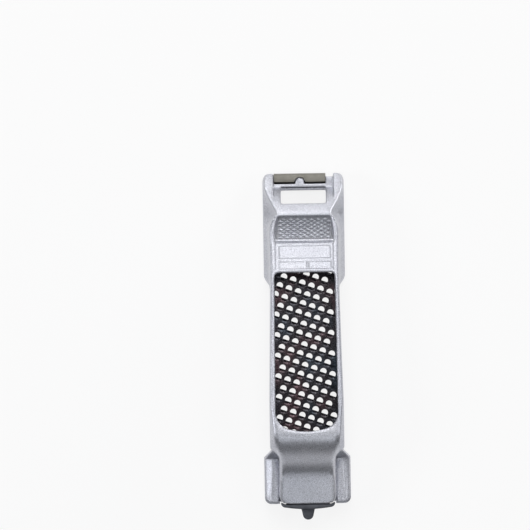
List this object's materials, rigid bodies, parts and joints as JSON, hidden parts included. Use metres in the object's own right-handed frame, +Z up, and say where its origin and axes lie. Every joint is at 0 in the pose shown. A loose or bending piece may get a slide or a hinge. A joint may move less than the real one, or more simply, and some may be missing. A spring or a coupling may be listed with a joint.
{
  "type": "rasp plane",
  "caption": "Small one-hand rasp plane: hollow die-cast body with a chip window over a perforated steel rasp blade, hooked on a toe bar and pulled tight by a heel lever.",
  "frame": {"origin": "on the plane of the tooth tips, below the middle of the whole tool", "axes": "+Y points to the toe, +Z up from the sole, +X to the right seen from above with the toe up"},
  "size_m": [0.0386, 0.155, 0.0355],
  "materials": {
    "cast_body": "satin silver metallic coat on a die casting",
    "blade_steel": "glossy black oxide, bright at the wrapped lip",
    "lever_steel": "satin charcoal",
    "bright_steel": "bright turned steel"
  },
  "bodies": {
    "body": {"body_casting": "cast_body", "lever_pin": "bright_steel"},
    "blade": {"rasp_blade": "blade_steel"},
    "lever": {"tension_lever": "lever_steel", "tension_bar": "bright_steel"}
  },
  "joints": [
    {"name": "lever_release", "type": "hinge", "parent": "body", "child": "lever", "pos_m": [0, -0.0576, 0.0065], "axis": [1, 0, 0], "range_deg": [0, 55]},
    {"name": "blade_swing", "type": "hinge", "parent": "body", "child": "blade", "pos_m": [0, 0.0744, 0.004], "axis": [1, 0, 0], "range_deg": [0, 8]}
  ]
}
